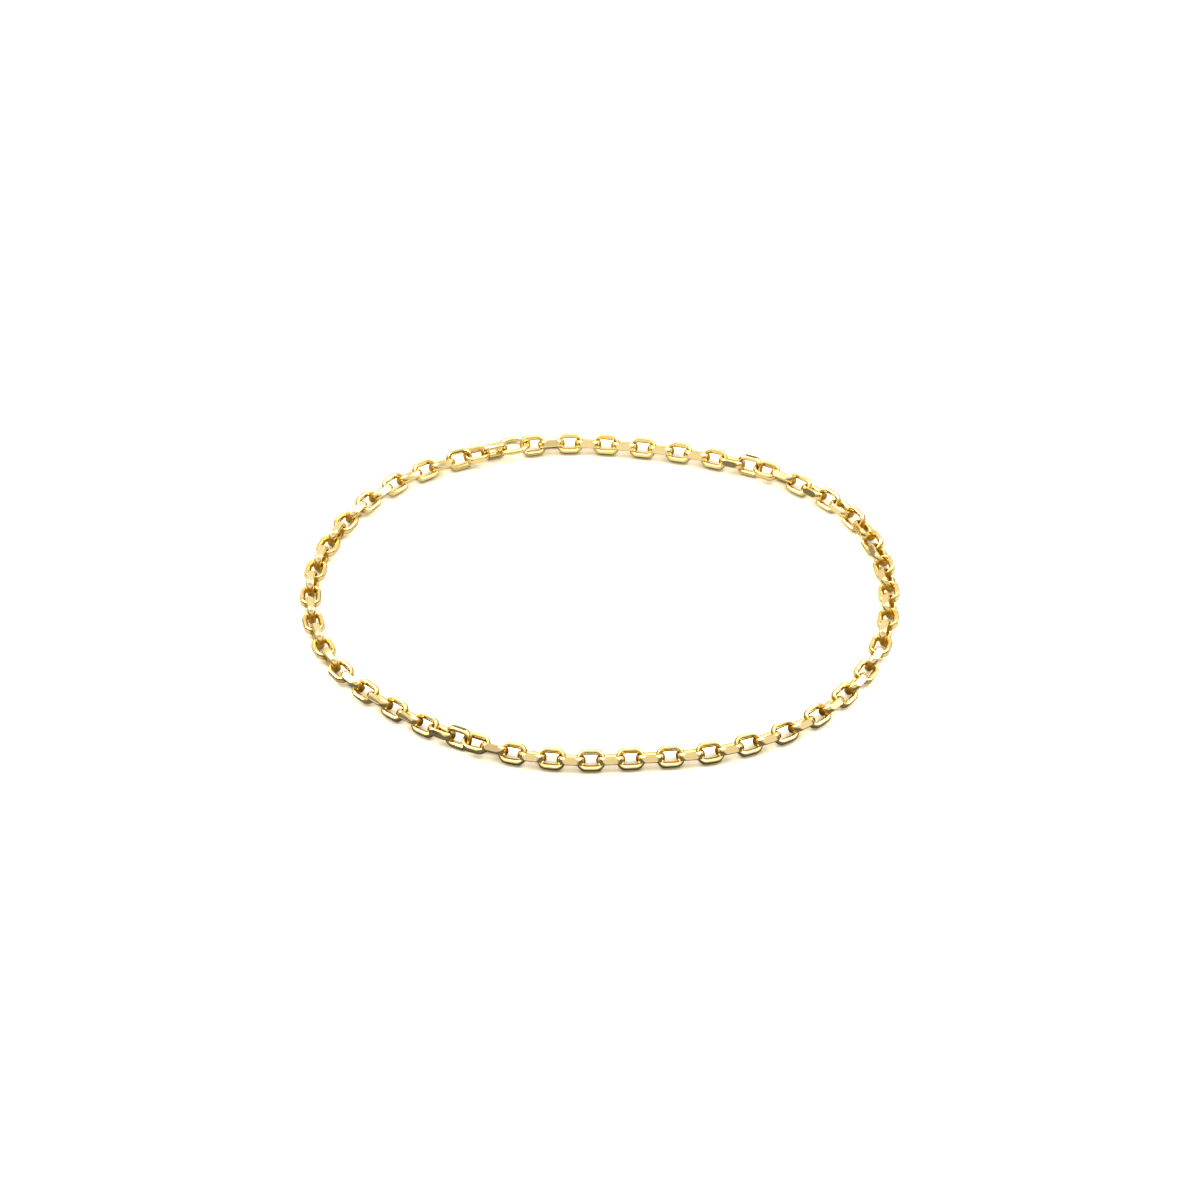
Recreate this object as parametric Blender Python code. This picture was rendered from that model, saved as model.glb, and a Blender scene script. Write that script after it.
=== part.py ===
# Fine cable-chain finger ring in yellow gold, lying as a soft loop on a table.
# The links are linked through each other and fused where they bear on one another;
# a round closing ring joins the two ends of the chain. The origin is under the middle of the loop.

import math

import bmesh
import bpy
from mathutils import Matrix, Vector

MM = 0.001

# Wire of the links: half-round inside, with the outer side cut flat
WIRE_THICK = 0.17 * MM
WIRE_DEPTH = 0.27 * MM
FLAT_WIDTH = 0.21 * MM

# Links: a flat oval with nearly straight sides; the length follows from the loop
LINK_COUNT = 85
LINK_WIDTH = 0.71 * MM
CORNER_RADIUS = 0.20 * MM
CORNER_STEPS = 2
CONTACT = 0.035 * MM

# Round ring that closes the chain, soldered shut. It hangs leaning back from the two end links
RING_OUTER = 1.30 * MM
RING_WIRE = 0.19 * MM
RING_PLAY = 0.06 * MM
RING_SIDES = 16
RING_WIRE_SIDES = 6
RING_LEAN_SIDE = math.radians(-8.0)
RING_LEAN_BACK = math.radians(16.4)
RING_OFFSET = Vector((-0.035, 0.146, 0.300)) * MM
RING_OVERHANG = 0.134 * MM

# The chain is drawn out on its right side and bunched on its left,
# so that the links of the front have moved on by up to this much
FRONT_SLIP = 0.25 * MM
SLIP_FIRST_LINK = 20
SLIP_LAST_LINK = 70

# Lay of the loop: reach of the chain's middle line from the centre, in millimetres,
# one row for each equal step of bearing, counter-clockwise seen from above, from +X
LOOP_REACH = (
    ("right", 9.85),
    ("right, turning back", 9.70),
    ("back right shoulder", 8.90),
    ("back right", 8.05),
    ("back", 7.70),
    ("back, at the closing ring", 7.90),
    ("back left", 8.30),
    ("back left shoulder", 9.05),
    ("left, turning back", 9.55),
    ("left", 9.85),
    ("left, turning front", 9.55),
    ("front left shoulder", 8.70),
    ("front left", 8.20),
    ("front, left of the middle", 7.90),
    ("front, right of the middle", 7.85),
    ("front right", 8.45),
    ("front right shoulder", 9.20),
    ("right, turning front", 9.70),
)
LOOP_SAMPLES = 1440
FIRST_LINK_BEARING = 107.2

# Roll of the chain about its own line. Every second link faces one way, up and to the front,
# as far as its run and the chain's twists allow; the others stand across them. A link that leans
# has settled a little flatter than that, away from the closing ring that holds the end links,
# and one that is nearly upright stands upright.
FACING = Vector((0.0, -1.0, 1.0)).normalized()
UPRIGHT_WITHIN = math.radians(6)
TWISTS = (
    # first link, last link, turn in degrees
    (10, 15, 90.0),
    (14, 18, 27.0),
    (27, 31, -27.0),
    (51, 56, 90.0),
    (58, 63, 18.0),
    (64, 71, -36.0),
    (72, 78, 18.0),
    (81, 84, 60.0),
)
SLOUCH = math.radians(9)
HELD_LINKS = 3

GOLD = (0.86, 0.60, 0.22, 1.0)
CUT_ROUGHNESS = 0.16
ROUND_ROUGHNESS = 0.12
UP = Vector((0.0, 0.0, 1.0))
QUARTER = math.radians(90)


def clear_scene():
    for obj in list(bpy.data.objects):
        bpy.data.objects.remove(obj, do_unlink=True)


def new_collection(name):
    collection = bpy.data.collections.new(name)
    bpy.context.scene.collection.children.link(collection)
    return collection


def gold(name, roughness):
    material = bpy.data.materials.new(name)
    material.use_nodes = True
    shader = material.node_tree.nodes["Principled BSDF"]
    shader.inputs["Base Color"].default_value = GOLD
    shader.inputs["Metallic"].default_value = 1.0
    shader.inputs["Roughness"].default_value = roughness
    return material


# The loop

def reach_at(bearing_deg):
    """Reach of the loop at a bearing: a smooth curve through the rows of the table."""
    rows = len(LOOP_REACH)
    place = bearing_deg % 360.0 / (360.0 / rows)
    row = int(place)
    part = place - row
    before, here, after, beyond = (LOOP_REACH[(row + step) % rows][1] for step in (-1, 0, 1, 2))
    bend = 2 * before - 5 * here + 4 * after - beyond + part * (3 * (here - after) + beyond - before)
    return (here + 0.5 * part * (after - before + part * bend)) * MM


def loop_points():
    """Points of the middle line, clockwise seen from above, from the first link's centre.

    The origin is the middle of the whole ring, with the overhang of the closing ring at the back.
    """
    points = []
    for sample in range(LOOP_SAMPLES):
        bearing = FIRST_LINK_BEARING - 360.0 * sample / LOOP_SAMPLES
        angle = math.radians(bearing)
        points.append(Vector((math.cos(angle), math.sin(angle), 0.0)) * reach_at(bearing))
    middle = Vector((
        (max(p.x for p in points) + min(p.x for p in points)) / 2,
        (max(p.y for p in points) + min(p.y for p in points) + RING_OVERHANG) / 2,
        0.0,
    ))
    return [point - middle for point in points]


class Loop:
    """The closed middle line, read by the distance along it."""

    def __init__(self):
        self.points = loop_points()
        self.distances = [0.0]
        for here, after in zip(self.points, self.points[1:] + self.points[:1]):
            self.distances.append(self.distances[-1] + (after - here).length)
        self.length = self.distances[-1]

    def point(self, distance):
        distance %= self.length
        low = 0
        high = LOOP_SAMPLES
        while high - low > 1:
            middle = (low + high) // 2
            if self.distances[middle] <= distance:
                low = middle
            else:
                high = middle
        part = (distance - self.distances[low]) / (self.distances[high] - self.distances[low])
        return self.points[low].lerp(self.points[high % LOOP_SAMPLES], part)

    def tangent(self, distance, reach):
        return (self.point(distance + reach) - self.point(distance - reach)).normalized()


LOOP = Loop()
RING_INNER_RADIUS = RING_OUTER / 2 - RING_WIRE
LINK_PITCH = (LOOP.length - 2 * (RING_INNER_RADIUS - RING_PLAY) + CONTACT) / LINK_COUNT
LINK_LENGTH = LINK_PITCH - CONTACT + 2 * WIRE_THICK
CLOSING_SPAN = LOOP.length - (LINK_COUNT - 1) * LINK_PITCH

# Distance of a link's cut flat from its middle; the wire turns half of this angle at the flat's end
FLAT_END_TURN = QUARTER / CORNER_STEPS / 2
FLAT_REACH = (LINK_WIDTH - WIRE_THICK * (1 - math.cos(FLAT_END_TURN / 2))) / 2


# The lay of each link

def eased(value):
    value = min(1.0, max(0.0, value))
    return value * value * (3 - 2 * value)


def twist_before(link):
    return math.radians(sum(turn * eased((link - first) / (last - first)) for first, last, turn in TWISTS))


def chain_roll(link, along):
    """Roll of the chain at a link, from lying face up, about the run."""
    facing = math.atan2(FACING.dot(along.cross(UP)), FACING.dot(UP))
    roll = facing + twist_before(link)
    upright = round(roll / QUARTER) * QUARTER
    return upright if abs(roll - upright) < UPRIGHT_WITHIN else roll


def slouched(link, roll):
    freedom = eased(min(link, LINK_COUNT - 1 - link) / HELD_LINKS)
    return roll - SLOUCH * freedom * math.sin(2 * roll)


def bedded_height(link, roll):
    """Height of the chain's middle when the lowest cut flat, here or next to here, touches the table."""
    needs = []
    for turn in (slouched(link, roll), slouched(link, roll + QUARTER)):
        needs.append(FLAT_REACH * abs(math.sin(turn)) + FLAT_WIDTH / 2 * abs(math.cos(turn)))
    return max(needs)


def link_distance(link):
    part = (link - SLIP_FIRST_LINK) / (SLIP_LAST_LINK - SLIP_FIRST_LINK)
    part = min(1.0, max(0.0, part))
    return link * LINK_PITCH + FRONT_SLIP * math.sin(math.pi * part) ** 2


def link_matrix(link):
    """Place of a link: X along the run, Y across its width, Z along its normal."""
    distance = link_distance(link)
    along = LOOP.tangent(distance, LINK_LENGTH / 2)
    roll = chain_roll(link, along) + QUARTER * (link % 2)
    normal = Matrix.Rotation(slouched(link, roll), 3, along) @ UP
    across = normal.cross(along)
    centre = LOOP.point(distance) + UP * bedded_height(link, roll)
    turned = Matrix((along, across, normal)).transposed().to_4x4()
    return Matrix.Translation(centre) @ turned


# The chain

def closed_curve(name, points, collection):
    curve = bpy.data.curves.new(name, "CURVE")
    curve.dimensions = "2D"
    curve.fill_mode = "NONE"
    spline = curve.splines.new("POLY")
    spline.points.add(len(points) - 1)
    for knot, (x, y) in zip(spline.points, points):
        knot.co = (x, y, 0.0, 1.0)
    spline.use_cyclic_u = True
    obj = bpy.data.objects.new(name, curve)
    collection.objects.link(obj)
    return obj


def wire_section():
    """Section of the wire: X outward from the hole of the link, Y along the link's normal."""
    return (
        (WIRE_THICK / 2, -FLAT_WIDTH / 2),
        (WIRE_THICK / 2, FLAT_WIDTH / 2),
        (0.0, WIRE_DEPTH / 2),
        (-WIRE_THICK / 2, 0.0),
        (0.0, -WIRE_DEPTH / 2),
    )


def link_outline():
    """Middle line of the wire round the link."""
    half_length = (LINK_LENGTH - WIRE_THICK) / 2 - CORNER_RADIUS
    half_width = (LINK_WIDTH - WIRE_THICK) / 2 - CORNER_RADIUS
    points = []
    for corner, (side_x, side_y) in enumerate(((1, 1), (-1, 1), (-1, -1), (1, -1))):
        for step in range(CORNER_STEPS + 1):
            angle = QUARTER * (corner + step / CORNER_STEPS)
            points.append((
                side_x * half_length + CORNER_RADIUS * math.cos(angle),
                side_y * half_width + CORNER_RADIUS * math.sin(angle),
            ))
    return points


def make_link_mesh(guides):
    section = closed_curve("wire_section", wire_section(), guides)
    outline = closed_curve("link_outline", link_outline(), guides)
    outline.data.dimensions = "3D"
    outline.data.twist_mode = "Z_UP"
    outline.data.bevel_mode = "OBJECT"
    outline.data.bevel_object = section
    bpy.context.view_layer.update()
    shape = outline.evaluated_get(bpy.context.evaluated_depsgraph_get())
    mesh = bpy.data.meshes.new_from_object(shape)
    bpy.data.objects.remove(outline, do_unlink=True)
    bpy.data.objects.remove(section, do_unlink=True)
    return mesh


def set_of_links(name, link_mesh, first, collection):
    """Every second link of the chain, from the first; none of these touches another."""
    shape = bmesh.new()
    for link in range(first, LINK_COUNT, 2):
        copy = link_mesh.copy()
        copy.transform(link_matrix(link))
        shape.from_mesh(copy)
        bpy.data.meshes.remove(copy)
    bmesh.ops.recalc_face_normals(shape, faces=shape.faces)
    mesh = bpy.data.meshes.new(name)
    shape.to_mesh(mesh)
    shape.free()
    obj = bpy.data.objects.new(name, mesh)
    collection.objects.link(obj)
    return obj


def make_chain(parts, guides):
    link_mesh = make_link_mesh(guides)
    chain = set_of_links("chain", link_mesh, 0, parts)
    others = set_of_links("links_between", link_mesh, 1, guides)
    fuse = chain.modifiers.new("fuse", "BOOLEAN")
    fuse.operation = "UNION"
    fuse.solver = "EXACT"
    fuse.object = others
    bpy.context.view_layer.update()
    fused = bpy.data.meshes.new_from_object(chain.evaluated_get(bpy.context.evaluated_depsgraph_get()))
    chain.modifiers.clear()
    chain.data = fused
    fused.name = "chain"
    fused.materials.clear()
    fused.materials.append(gold("gold_cut_flat", CUT_ROUGHNESS))
    bpy.data.objects.remove(others, do_unlink=True)
    return chain


# The closing ring

def make_closing_ring(parts):
    bpy.ops.mesh.primitive_torus_add(
        major_radius=(RING_OUTER - RING_WIRE) / 2,
        minor_radius=RING_WIRE / 2,
        major_segments=RING_SIDES,
        minor_segments=RING_WIRE_SIDES,
        location=LOOP.point(-CLOSING_SPAN / 2) + RING_OFFSET,
        rotation=(-RING_LEAN_BACK, RING_LEAN_SIDE, 0.0),
    )
    ring = bpy.context.object
    ring.name = "closing_ring"
    ring.data.name = "closing_ring"
    for owner in list(ring.users_collection):
        owner.objects.unlink(ring)
    parts.objects.link(ring)
    ring.data.materials.append(gold("gold_round_wire", ROUND_ROUGHNESS))
    ring.data.shade_smooth()
    return ring


clear_scene()
PARTS = new_collection("chain_ring")
GUIDES = new_collection("guides")
make_chain(PARTS, GUIDES)
make_closing_ring(PARTS)
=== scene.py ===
import math
import random

import bmesh
import bpy
import numpy as np
from mathutils import Matrix, Vector


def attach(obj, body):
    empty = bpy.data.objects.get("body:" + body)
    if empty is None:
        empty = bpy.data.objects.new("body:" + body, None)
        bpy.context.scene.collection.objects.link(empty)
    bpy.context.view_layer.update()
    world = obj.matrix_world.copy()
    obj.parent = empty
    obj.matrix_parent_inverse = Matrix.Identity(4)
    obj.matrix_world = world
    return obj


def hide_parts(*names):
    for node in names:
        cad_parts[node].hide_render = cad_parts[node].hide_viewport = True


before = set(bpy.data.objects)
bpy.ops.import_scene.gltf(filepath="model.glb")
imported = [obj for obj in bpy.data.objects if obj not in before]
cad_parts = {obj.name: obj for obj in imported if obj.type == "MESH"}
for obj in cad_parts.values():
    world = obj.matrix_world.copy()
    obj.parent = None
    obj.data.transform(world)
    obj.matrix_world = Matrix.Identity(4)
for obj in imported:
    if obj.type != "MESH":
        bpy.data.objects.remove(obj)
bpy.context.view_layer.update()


# The links: 85 small flat links of 14-carat yellow gold wire, each bent through its neighbours and
# soldered shut. The finished chain is drawn past a cutter that planes its outer sides and corners
# mirror-bright. It lies as a loose loop, each link turned about a quarter from the one before.

MM = 0.001
WIRE_THICK = 0.17 * MM
WIRE_DEPTH = 0.27 * MM
FLAT_WIDTH = 0.21 * MM
LINK_COUNT = 85
LINK_WIDTH = 0.71 * MM
CONTACT = 0.035 * MM
CLOSING_HOLE_RADIUS = 0.46 * MM
CLOSING_PLAY = 0.06 * MM
CLOSING_OVERHANG = 0.134 * MM
FRONT_SLIP = 0.25 * MM
SLIP_FIRST_LINK = 20
SLIP_LAST_LINK = 70
LOOP_REACH = (
    # where on the loop, reach from its centre in millimetres; equal steps of bearing from +X
    ("right", 9.85),
    ("right, turning back", 9.70),
    ("back right shoulder", 8.90),
    ("back right", 8.05),
    ("back", 7.70),
    ("back, at the closing ring", 7.90),
    ("back left", 8.30),
    ("back left shoulder", 9.05),
    ("left, turning back", 9.55),
    ("left", 9.85),
    ("left, turning front", 9.55),
    ("front left shoulder", 8.70),
    ("front left", 8.20),
    ("front, left of the middle", 7.90),
    ("front, right of the middle", 7.85),
    ("front right", 8.45),
    ("front right shoulder", 9.20),
    ("right, turning front", 9.70),
)
LOOP_SAMPLES = 1440
FIRST_LINK_BEARING = 107.2
FACING = Vector((0.0, -1.0, 1.0)).normalized()
UPRIGHT_WITHIN = math.radians(6)
TWISTS = (
    # first link, last link, turn in degrees
    (10, 15, 90.0),
    (14, 18, 27.0),
    (27, 31, -27.0),
    (51, 56, 90.0),
    (58, 63, 18.0),
    (64, 71, -36.0),
    (72, 78, 18.0),
    (81, 84, 60.0),
)
SLOUCH = math.radians(9)
HELD_LINKS = 3
UP = Vector((0.0, 0.0, 1.0))
QUARTER = math.radians(90)


def reach_at(bearing_deg):
    """Reach of the loop at a bearing: a smooth curve through the rows of the table."""
    rows = len(LOOP_REACH)
    place = bearing_deg % 360.0 / (360.0 / rows)
    row = int(place)
    part = place - row
    before, here, after, beyond = (LOOP_REACH[(row + step) % rows][1] for step in (-1, 0, 1, 2))
    bend = 2 * before - 5 * here + 4 * after - beyond + part * (3 * (here - after) + beyond - before)
    return (here + 0.5 * part * (after - before + part * bend)) * MM


def loop_points():
    """The chain's middle line, clockwise seen from above, from the first link's centre."""
    bearings = FIRST_LINK_BEARING - 360.0 * np.arange(LOOP_SAMPLES) / LOOP_SAMPLES
    reach = np.array([reach_at(bearing) for bearing in bearings])
    angles = np.radians(bearings)
    points = np.stack([np.cos(angles) * reach, np.sin(angles) * reach, 0 * reach], axis=1)
    middle = (points.max(axis=0) + points.min(axis=0) + (0.0, CLOSING_OVERHANG, 0.0)) / 2
    return points - middle


LOOP = loop_points()
LOOP_CLOSED = np.vstack([LOOP, LOOP[:1]])
LOOP_DISTANCES = np.concatenate([[0.0], np.cumsum(np.linalg.norm(np.diff(LOOP_CLOSED, axis=0), axis=1))])
LOOP_LENGTH = LOOP_DISTANCES[-1]
LINK_PITCH = (LOOP_LENGTH - 2 * (CLOSING_HOLE_RADIUS - CLOSING_PLAY) + CONTACT) / LINK_COUNT
LINK_LENGTH = LINK_PITCH - CONTACT + 2 * WIRE_THICK
CLOSING_SPAN = LOOP_LENGTH - (LINK_COUNT - 1) * LINK_PITCH
FLAT_REACH = (LINK_WIDTH - WIRE_THICK * (1 - math.cos(QUARTER / 8))) / 2


def loop_point(distance):
    distance %= LOOP_LENGTH
    return Vector([np.interp(distance, LOOP_DISTANCES, LOOP_CLOSED[:, axis]) for axis in range(3)])


def eased(value):
    value = min(1.0, max(0.0, value))
    return value * value * (3 - 2 * value)


def twist_before(link):
    return math.radians(sum(turn * eased((link - first) / (last - first)) for first, last, turn in TWISTS))


def chain_roll(link, along):
    """Roll of the chain at a link, from lying face up, about the run."""
    facing = math.atan2(FACING.dot(along.cross(UP)), FACING.dot(UP))
    roll = facing + twist_before(link)
    upright = round(roll / QUARTER) * QUARTER
    return upright if abs(roll - upright) < UPRIGHT_WITHIN else roll


def slouched(link, roll):
    """A leaning link settles a little flatter, unless the closing ring holds it."""
    freedom = eased(min(link, LINK_COUNT - 1 - link) / HELD_LINKS)
    return roll - SLOUCH * freedom * math.sin(2 * roll)


def bedded_height(link, roll):
    """Height of the chain's middle when the lowest cut flat, here or next to here, touches the table."""
    needs = []
    for turn in (slouched(link, roll), slouched(link, roll + QUARTER)):
        needs.append(FLAT_REACH * abs(math.sin(turn)) + FLAT_WIDTH / 2 * abs(math.cos(turn)))
    return max(needs)


def link_place(link):
    """Place of a link: X along the run, Y across its width, Z along its normal."""
    part = min(1.0, max(0.0, (link - SLIP_FIRST_LINK) / (SLIP_LAST_LINK - SLIP_FIRST_LINK)))
    distance = link * LINK_PITCH + FRONT_SLIP * math.sin(math.pi * part) ** 2
    reach = LINK_LENGTH / 2
    along = (loop_point(distance + reach) - loop_point(distance - reach)).normalized()
    roll = chain_roll(link, along) + QUARTER * (link % 2)
    normal = Matrix.Rotation(slouched(link, roll), 3, along) @ UP
    turned = Matrix((along, normal.cross(along), normal)).transposed().to_4x4()
    return Matrix.Translation(loop_point(distance) + UP * bedded_height(link, roll)) @ turned


# The blank of one link, in millimetres: the wire's section runs from the rim of the hole over the
# middle of the wire to an outer edge that stands proud of the finished link, for the cutter to take.
# Each of these three outlines has a half length, a half width and a corner radius.

HOLE_RIM = (LINK_PITCH / MM / 2, 0.172, 0.155)
WIRE_MIDDLE = (0.402, 0.292, 0.25)
BLANK_EDGE = (LINK_LENGTH / MM / 2, 0.388, 0.35)
CORNER_STEPS = 8
SECTION_POINTS = 16
SIDE_CUT = LINK_WIDTH / MM / 2
CORNER_CUTS = (0.450, 0.455, 0.460)
CUT_TOLERANCE = 1e-6
POLISHED, CUT = 0, 1
SHARP_ANGLE = math.radians(24)
PLACE_STEP = 2.0
DRAW_SEED = 85


def oblong(half_length, half_width, corner_radius):
    """Points round an oblong with round corners, anticlockwise from the middle of its right end."""
    points = []
    for corner, (side_x, side_y) in enumerate(((1, 1), (-1, 1), (-1, -1), (1, -1))):
        for step in range(CORNER_STEPS + 1):
            angle = QUARTER * (corner + step / CORNER_STEPS)
            points.append((
                side_x * (half_length - corner_radius) + corner_radius * math.cos(angle),
                side_y * (half_width - corner_radius) + corner_radius * math.sin(angle),
            ))
    return points


def link_blank():
    shape = bmesh.new()
    rings = []
    for rim, middle, edge in zip(oblong(*HOLE_RIM), oblong(*WIRE_MIDDLE), oblong(*BLANK_EDGE)):
        ring = []
        for point in range(SECTION_POINTS):
            angle = 2 * math.pi * point / SECTION_POINTS
            end = edge if math.cos(angle) > 0 else rim
            part = abs(math.cos(angle))
            ring.append(shape.verts.new((
                middle[0] + (end[0] - middle[0]) * part,
                middle[1] + (end[1] - middle[1]) * part,
                WIRE_DEPTH / MM / 2 * math.sin(angle),
            )))
        rings.append(ring)
    for ring, after in zip(rings, rings[1:] + rings[:1]):
        for point in range(SECTION_POINTS):
            beyond = (point + 1) % SECTION_POINTS
            shape.faces.new((ring[point], after[point], after[beyond], ring[beyond]))
    return shape


def cut_link(corner_cut):
    """One finished link: its blank with both sides and all four corners cut flat."""
    shape = link_blank()
    slope = math.sqrt(0.5)
    cuts = [((0, side, 0), SIDE_CUT) for side in (1, -1)]
    cuts += [((x * slope, y * slope, 0), corner_cut) for x in (1, -1) for y in (1, -1)]
    for facing, reach in cuts:
        made = bmesh.ops.bisect_plane(
            shape,
            geom=shape.verts[:] + shape.edges[:] + shape.faces[:],
            dist=CUT_TOLERANCE,
            plane_co=Vector(facing) * reach,
            plane_no=facing,
            clear_outer=True,
        )
        rim = [part for part in made["geom_cut"] if isinstance(part, bmesh.types.BMEdge)]
        for face in bmesh.ops.contextual_create(shape, geom=rim)["faces"]:
            face.material_index = CUT
    bmesh.ops.recalc_face_normals(shape, faces=shape.faces)
    mesh = bpy.data.meshes.new("link")
    shape.to_mesh(mesh)
    shape.free()
    return mesh


draw = random.Random(DRAW_SEED)
kinds = [cut_link(corner_cut) for corner_cut in CORNER_CUTS]
points = []
faces = []
finishes = []
own_places = []
own_tints = []
for link in range(LINK_COUNT):
    kind = kinds[draw.randrange(len(kinds))]
    first = len(points)
    place = link_place(link) @ Matrix.Scale(MM, 4)
    tint = draw.random()
    for vertex in kind.vertices:
        points.append(place @ vertex.co)
        own_places.append(vertex.co + Vector((0.0, 0.0, PLACE_STEP * link)))
        own_tints.append(tint)
    for face in kind.polygons:
        faces.append([first + vertex for vertex in face.vertices])
        finishes.append(face.material_index)
mesh = bpy.data.meshes.new("chain_links")
mesh.from_pydata(points, [], faces)
mesh.polygons.foreach_set("material_index", finishes)
mesh.attributes.new("own_place", "FLOAT_VECTOR", "POINT").data.foreach_set("vector", np.ravel(own_places))
mesh.attributes.new("own_tint", "FLOAT", "POINT").data.foreach_set("value", own_tints)
mesh.shade_smooth()
mesh.set_sharp_from_angle(angle=SHARP_ANGLE)
for kind in kinds:
    bpy.data.meshes.remove(kind)
links = bpy.data.objects.new("chain_links", mesh)
bpy.context.scene.collection.objects.link(links)


class Shade:
    """A socket of a node tree; sums of shades and numbers add their Math nodes."""

    def __init__(self, tree, socket=None):
        self.tree = tree
        self.socket = socket

    def node(self, kind, settings, inputs, output=0):
        """Adds a node with its settings, then the values or shades of its sockets."""
        node = self.tree.nodes.new(kind)
        for name, value in settings.items():
            setattr(node, name, value)
        for name, value in inputs.items():
            if isinstance(value, Shade):
                self.tree.links.new(value.socket, node.inputs[name])
            else:
                node.inputs[name].default_value = value
        return Shade(self.tree, node.outputs[output])

    def finish(self, kind, last):
        """Joins the last shade to the tree's output."""
        output = self.tree.nodes.new(kind)
        self.tree.links.new(last.socket, output.inputs["Surface"])

    def math(self, operation, first, second=0.0):
        return self.node("ShaderNodeMath", {"operation": operation}, {0: first, 1: second})

    def __add__(self, other):
        return self.math("ADD", self, other)

    __radd__ = __add__

    def __sub__(self, other):
        return self.math("SUBTRACT", self, other)

    def __rsub__(self, other):
        return self.math("SUBTRACT", other, self)

    def __mul__(self, other):
        return self.math("MULTIPLY", self, other)

    __rmul__ = __mul__

    def step(self, low, high):
        """0 below low, 1 above high, smooth between them."""
        return self.node(
            "ShaderNodeMapRange",
            {"interpolation_type": "SMOOTHSTEP"},
            {"Value": self, "From Min": low, "From Max": high},
        )


WIRE_TONES = ((0.94, 0.70, 0.26, 1.0), (0.92, 0.655, 0.22, 1.0))
CUT_TONES = ((0.96, 0.735, 0.345, 1.0), (0.94, 0.685, 0.30, 1.0))
# Painted shade: a dark amber laid in patches on the links' ends, where the neighbours pass through, in
# place of their shade and of gold mirrored in gold.
END_SHADE_TONE = (0.42, 0.225, 0.008, 1.0)
END_SHADE_STRENGTH = 0.95
END_SHADE_DULLNESS = 0.35
INNER_END_FROM = (0.22, 0.32)
INNER_END_TO = (0.36, 0.44)
INNER_END_SIDE = (0.10, 0.21)
OUTER_END_FROM = (0.395, 0.445)
OUTER_END_SIDE = (0.15, 0.27)
PATCH_EDGE = (-0.083, 0.583)
CUTTER_LINES = (90.0, 8.0, 12.0)
WIRE_LINES = (9.0, 60.0, 45.0)
LINE_DETAIL = {"Scale": 1.0, "Detail": 4.0}
LINE_DEPTH = 0.0012 * MM
LINE_SHARE = 0.7
CLOUD = {"Scale": 5.0, "Detail": 3.0}
GRAIN = {"Scale": 38.0, "Detail": 3.0}
TINT_SHARE = 0.6
CLOUD_SHARE = 0.5
TONE_EDGE = (0.2, 0.9)


def new_material(name):
    """A new material without nodes, and an empty shade of its tree."""
    material = bpy.data.materials.new(name)
    material.use_nodes = True
    material.node_tree.nodes.clear()
    return material, Shade(material.node_tree)


def shaded_ends_mask(shades, place):
    """1 on both faces of a link's ends, where its neighbours pass through it, else 0: where the painted
    shade goes.
    """
    end = shades.math("ABSOLUTE", shades.node("ShaderNodeSeparateXYZ", {}, {"Vector": place}, "X"))
    side = shades.math("ABSOLUTE", shades.node("ShaderNodeSeparateXYZ", {}, {"Vector": place}, "Y"))
    inner = end.step(*INNER_END_FROM) * (1 - end.step(*INNER_END_TO)) * (1 - side.step(*INNER_END_SIDE))
    outer = end.step(*OUTER_END_FROM) * (1 - side.step(*OUTER_END_SIDE))
    return shades.math("MAXIMUM", inner, outer)


def gold(name, tones, rough_low, rough_high, lines, with_end_shade):
    """Gold with fine lines and a tone that differs a little; with_end_shade: the links' ends get a painted
    shade, dark amber and a little rougher.
    """
    material, shades = new_material(name)
    place = shades.node("ShaderNodeAttribute", {"attribute_name": "own_place"}, {}, "Vector")
    tint = shades.node("ShaderNodeAttribute", {"attribute_name": "own_tint"}, {}, "Fac")
    cloud = shades.node("ShaderNodeTexNoise", {}, {"Vector": place, **CLOUD})
    grain = shades.node("ShaderNodeTexNoise", {}, {"Vector": place, **GRAIN})
    drawn = shades.node("ShaderNodeVectorMath", {"operation": "MULTIPLY"}, {0: place, 1: lines})
    scratches = shades.node("ShaderNodeTexNoise", {}, {"Vector": drawn, **LINE_DETAIL})
    tone = (tint * TINT_SHARE + cloud * CLOUD_SHARE).step(*TONE_EDGE)
    colour = shades.node(
        "ShaderNodeMix", {"data_type": "RGBA"}, {"Factor": tone, 6: tones[0], 7: tones[1]}, 2,
    )
    roughness = rough_low + (rough_high - rough_low) * (grain * 0.5 + cloud * 0.5)
    if with_end_shade:
        # Painted shade on the links' ends, in patches, made a little rougher there too.
        ends_shade = shaded_ends_mask(shades, place) * cloud.step(*PATCH_EDGE) * END_SHADE_STRENGTH
        colour = shades.node(
            "ShaderNodeMix", {"data_type": "RGBA"}, {"Factor": ends_shade, 6: colour, 7: END_SHADE_TONE}, 2,
        )
        roughness = roughness + ends_shade * END_SHADE_DULLNESS
    surface = scratches * LINE_SHARE + grain * (1 - LINE_SHARE)
    normal = shades.node("ShaderNodeBump", {}, {"Strength": 1.0, "Distance": LINE_DEPTH, "Height": surface})
    metal = shades.node(
        "ShaderNodeBsdfPrincipled",
        {},
        {"Base Color": colour, "Metallic": 1.0, "Roughness": roughness, "Normal": normal},
    )
    shades.finish("ShaderNodeOutputMaterial", metal)
    return material


# The wire gets the painted shade on its ends; the cut faces don't.
mesh.materials.append(gold("polished_gold", WIRE_TONES, 0.08, 0.20, WIRE_LINES, True))
mesh.materials.append(gold("cut_gold", CUT_TONES, 0.10, 0.20, CUTTER_LINES, False))
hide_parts("chain")
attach(links, "root")


# The closing ring: one ring of round gold wire, a little larger than the links, bent shut through the
# first and the last link and soldered. It hangs leaning back from the two of them at the back left.

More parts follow.
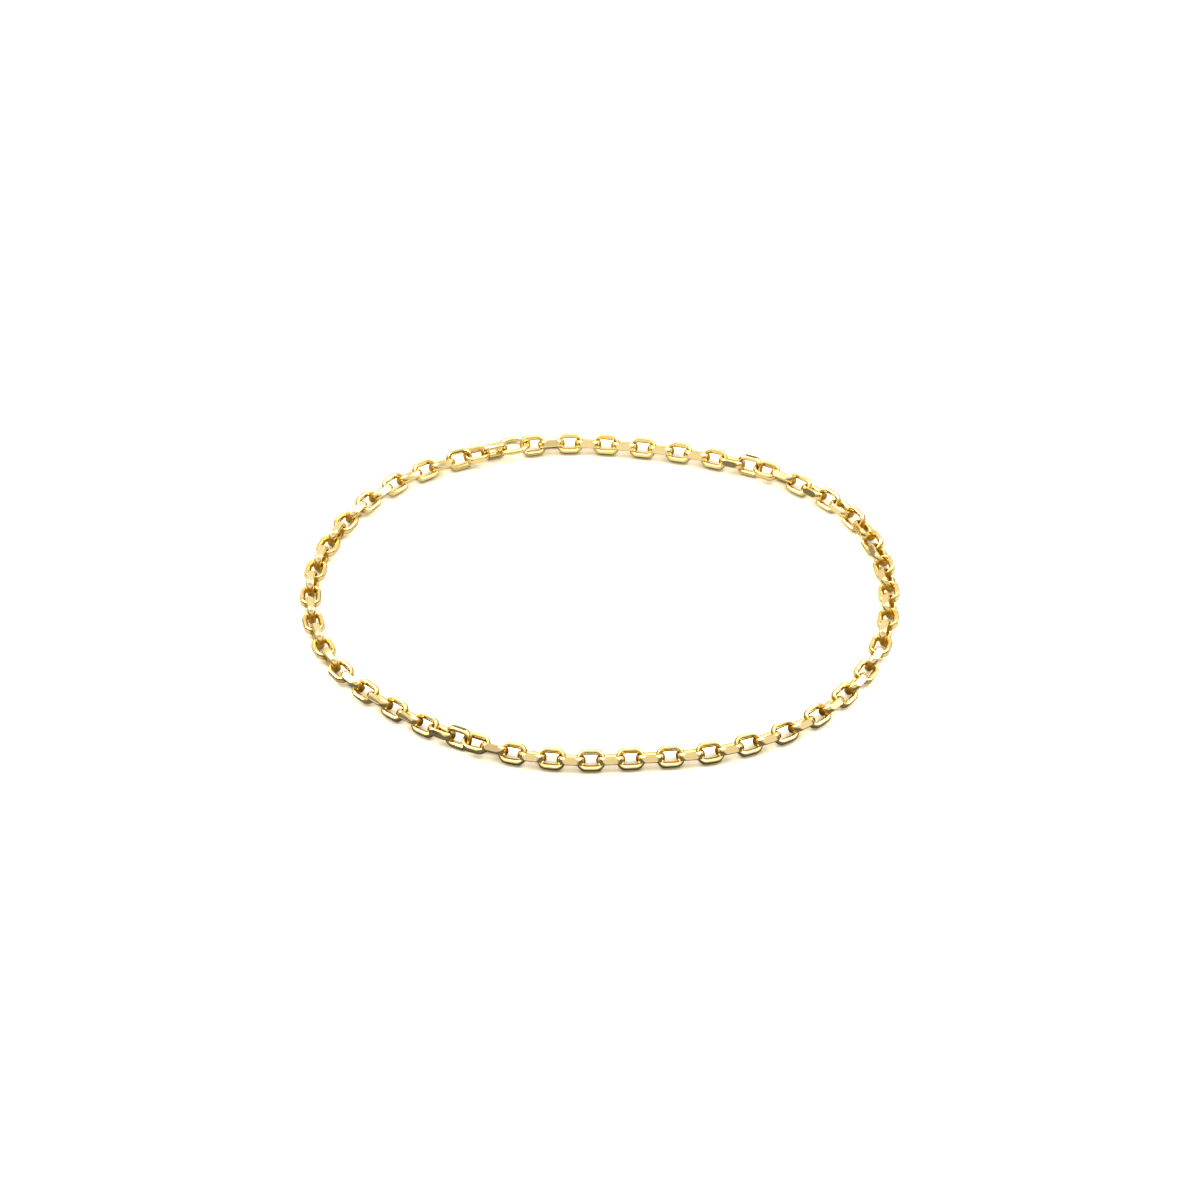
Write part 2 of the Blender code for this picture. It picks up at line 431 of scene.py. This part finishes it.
CLOSING_OUTER = 1.30 * MM
CLOSING_WIRE = 0.19 * MM
CLOSING_LEAN_SIDE = math.radians(-8.0)
CLOSING_LEAN_BACK = math.radians(16.4)
CLOSING_OFFSET = Vector((-0.035, 0.146, 0.300)) * MM
CLOSING_STEPS = 72
CLOSING_SECTION = 20
SOLDER_BEARING = math.radians(-160)
SOLDER_SPREAD = math.radians(7)
SOLDER_GAIN = 0.035
MARKS_LENGTH = 3.5
MARKS_RADIUS = 0.1

points = []
faces = []
own_places = []
for step in range(CLOSING_STEPS):
    bearing = 2 * math.pi * step / CLOSING_STEPS
    apart = (bearing - SOLDER_BEARING + math.pi) % (2 * math.pi) - math.pi
    swell = 1 + SOLDER_GAIN * math.exp(-(apart / SOLDER_SPREAD) ** 2)
    for point in range(CLOSING_SECTION):
        angle = 2 * math.pi * point / CLOSING_SECTION
        reach = (CLOSING_OUTER - CLOSING_WIRE) / 2 + CLOSING_WIRE / 2 * math.cos(angle)
        points.append((
            reach * math.cos(bearing),
            reach * math.sin(bearing),
            CLOSING_WIRE / 2 * swell * math.sin(angle),
        ))
        own_places.append((
            MARKS_LENGTH * bearing / (2 * math.pi),
            MARKS_RADIUS * math.cos(angle),
            MARKS_RADIUS * math.sin(angle),
        ))
        after = (step + 1) % CLOSING_STEPS
        beyond = (point + 1) % CLOSING_SECTION
        faces.append((
            step * CLOSING_SECTION + point,
            after * CLOSING_SECTION + point,
            after * CLOSING_SECTION + beyond,
            step * CLOSING_SECTION + beyond,
        ))
mesh = bpy.data.meshes.new("closing_ring_round")
mesh.from_pydata(points, [], faces)
mesh.attributes.new("own_place", "FLOAT_VECTOR", "POINT").data.foreach_set("vector", np.ravel(own_places))
mesh.shade_smooth()
centre = loop_point(-CLOSING_SPAN / 2) + CLOSING_OFFSET
lean = Matrix.Rotation(CLOSING_LEAN_SIDE, 4, "Y") @ Matrix.Rotation(-CLOSING_LEAN_BACK, 4, "X")
mesh.transform(Matrix.Translation(centre) @ lean)
mesh.materials.append(gold("round_gold", WIRE_TONES, 0.08, 0.20, WIRE_LINES, False))
closing_ring = bpy.data.objects.new("closing_ring_round", mesh)
bpy.context.scene.collection.objects.link(closing_ring)
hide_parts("closing_ring")
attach(closing_ring, "root")


# The table: a plain pale board, far wider than the ring, so that it fills every view. The light burns
# it out to white for the camera. What the gold mirrors of it is made a darker ground, darkest at the
# front, because the photograph's gold looks as if it mirrored one. What it really lay on isn't known.

TABLE_HALF = 1.5
MOTTLE = {"Scale": 900.0, "Detail": 2.0}
MATT = {"Roughness": 1.0, "Specular IOR Level": 0.0}
BOARD_PALE = (0.96, 0.87, 0.65, 1.0)
BOARD_SHADE = (0.95, 0.86, 0.64, 1.0)
GROUND_FRONT = 0.08
GROUND_RISE = 0.32
GROUND_EDGE = (-6.0 * MM, -2.5 * MM)

mesh = bpy.data.meshes.new("table")
mesh.from_pydata(
    [(x * TABLE_HALF, y * TABLE_HALF, 0.0) for x, y in ((-1, -1), (1, -1), (1, 1), (-1, 1))],
    [],
    [(0, 1, 2, 3)],
)
table = bpy.data.objects.new("table", mesh)
bpy.context.scene.collection.objects.link(table)
material, shades = new_material("pale_board")
spot = shades.node("ShaderNodeTexCoord", {}, {}, "Object")
mottle = shades.node("ShaderNodeTexNoise", {}, {"Vector": spot, **MOTTLE})
pale = shades.node(
    "ShaderNodeMix", {"data_type": "RGBA"}, {"Factor": mottle, 6: BOARD_PALE, 7: BOARD_SHADE}, 2,
)
board = shades.node("ShaderNodeBsdfPrincipled", {}, {"Base Color": pale, **MATT})
depth = shades.node("ShaderNodeSeparateXYZ", {}, {"Vector": spot}, "Y")
grey = GROUND_FRONT + GROUND_RISE * depth.step(*GROUND_EDGE)
ground = shades.node("ShaderNodeBsdfPrincipled", {}, {"Base Color": grey, **MATT})
seen = shades.node("ShaderNodeLightPath", {}, {}, "Is Camera Ray")
surface = shades.node("ShaderNodeMixShader", {}, {0: seen, 1: ground, 2: board})
shades.finish("ShaderNodeOutputMaterial", surface)
mesh.materials.append(material)


# The camera: at the height over the table that fits the photograph best, far off and with a long lens,
# so that the ring fills the same part of the frame.

CAMERA_ELEVATION = math.radians(43.7)
CAMERA_DISTANCE = 136 * MM
VIEW_WIDTH = 40.97 * MM
SENSOR_WIDTH = 36.0

camera_data = bpy.data.cameras.new("camera")
camera_data.sensor_fit = "HORIZONTAL"
camera_data.sensor_width = SENSOR_WIDTH
camera_data.lens = SENSOR_WIDTH * CAMERA_DISTANCE / VIEW_WIDTH
camera_data.clip_start = 1 * MM
camera = bpy.data.objects.new("camera", camera_data)
camera.location = Vector((0.0, -math.cos(CAMERA_ELEVATION), math.sin(CAMERA_ELEVATION))) * CAMERA_DISTANCE
camera.rotation_euler = (QUARTER - CAMERA_ELEVATION, 0.0, 0.0)
bpy.context.scene.collection.objects.link(camera)
bpy.context.scene.camera = camera


# The light: a white tent, brightest at its top and dark low down at the front, which draws the dark
# edges along the wires. Two large softboxes stand high at the left and the right, a little behind the
# ring. The camera sees the tent as plain white.

SOFTBOXES = (
    # name, bearing from +X, height angle, distance, width, height, radiance
    ("left_box", 165.0, 50.0, 0.30, 0.22, 0.22, 6.5),
    ("right_box", 15.0, 50.0, 0.30, 0.22, 0.22, 6.5),
)
DARK_GLOW = 0.07
LOW_GLOW = 0.17
CARD_GLOW = 0.78
TOP_GLOW = 2.2
LOW_EDGE = (0.05, 0.25)
FRONT_EDGE = (0.34, 0.44)
FRONT_FADE = 0.45
FRONT_FADE_EDGE = (0.58, 0.74)
BACK_EDGE = (0.05, 0.30)
TOP_EDGE = (0.88, 0.97)
BACK_BEGINS = (-0.1, 0.3)

for name, bearing, height_angle, distance, width, height, radiance in SOFTBOXES:
    light = bpy.data.lights.new(name, "AREA")
    light.shape = "RECTANGLE"
    light.size = width
    light.size_y = height
    light.energy = radiance * math.pi * width * height
    lamp = bpy.data.objects.new(name, light)
    around = math.radians(bearing)
    above = math.radians(height_angle)
    across = math.cos(above)
    outward = Vector((math.cos(around) * across, math.sin(around) * across, math.sin(above)))
    lamp.location = outward * distance
    lamp.rotation_euler = outward.to_track_quat("Z", "Y").to_euler()
    lamp.visible_camera = False
    bpy.context.scene.collection.objects.link(lamp)

world = bpy.data.worlds.new("white_tent")
bpy.context.scene.world = world
world.use_nodes = True
world.node_tree.nodes.clear()
tent = Shade(world.node_tree)
direction = tent.node("ShaderNodeTexCoord", {}, {}, "Generated")
backward = tent.node("ShaderNodeSeparateXYZ", {}, {"Vector": direction}, "Y")
upward = tent.node("ShaderNodeSeparateXYZ", {}, {"Vector": direction}, "Z")
behind = backward.step(*BACK_BEGINS)
front_card = upward.step(*FRONT_EDGE) * (1 - FRONT_FADE * upward.step(*FRONT_FADE_EDGE)) * (1 - behind)
back_card = upward.step(*BACK_EDGE) * behind
glow = DARK_GLOW + LOW_GLOW * upward.step(*LOW_EDGE) + CARD_GLOW * (front_card + back_card)
glow = glow + TOP_GLOW * upward.step(*TOP_EDGE)
seen = tent.node("ShaderNodeLightPath", {}, {}, "Is Camera Ray")
strength = glow * (1 - seen) + seen
sky = tent.node("ShaderNodeBackground", {}, {"Color": (1.0, 1.0, 1.0, 1.0), "Strength": strength})
tent.finish("ShaderNodeOutputWorld", sky)

bpy.context.scene.view_settings.view_transform = "Standard"
bpy.context.scene.view_settings.look = "None"
